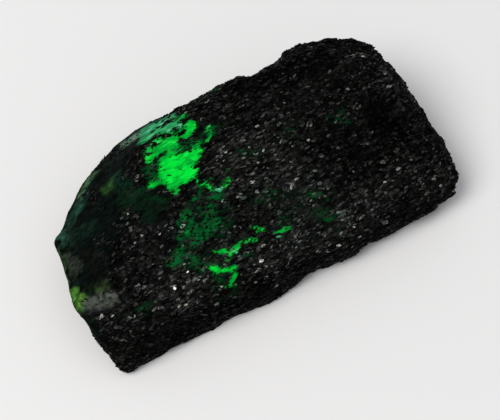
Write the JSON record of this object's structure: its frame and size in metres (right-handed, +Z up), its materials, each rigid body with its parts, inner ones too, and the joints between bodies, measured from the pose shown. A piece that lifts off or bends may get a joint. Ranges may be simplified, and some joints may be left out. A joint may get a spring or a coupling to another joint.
{
  "type": "raw emerald crystal in schist",
  "caption": "Rough broken block of black mica schist with emerald grown in it, flat underneath to lie on a surface.",
  "frame": {"origin": "centre of the bounding box in plan, on the flat cleavage face that the stone rests on", "axes": "+X along the stone's longest side, which is the grain of the schist, towards the blunt dark end; +Y across it towards the higher edge; +Z up, away from the flat face"},
  "size_m": [0.0536, 0.0276, 0.0147],
  "materials": {
    "emerald_schist": "near-black mica schist with small glittering flakes, windows of bright and dark green emerald, and one smoother glossy dark green crystal face"
  },
  "bodies": {
    "root": {"raw_emerald": "emerald_schist"}
  },
  "joints": []
}
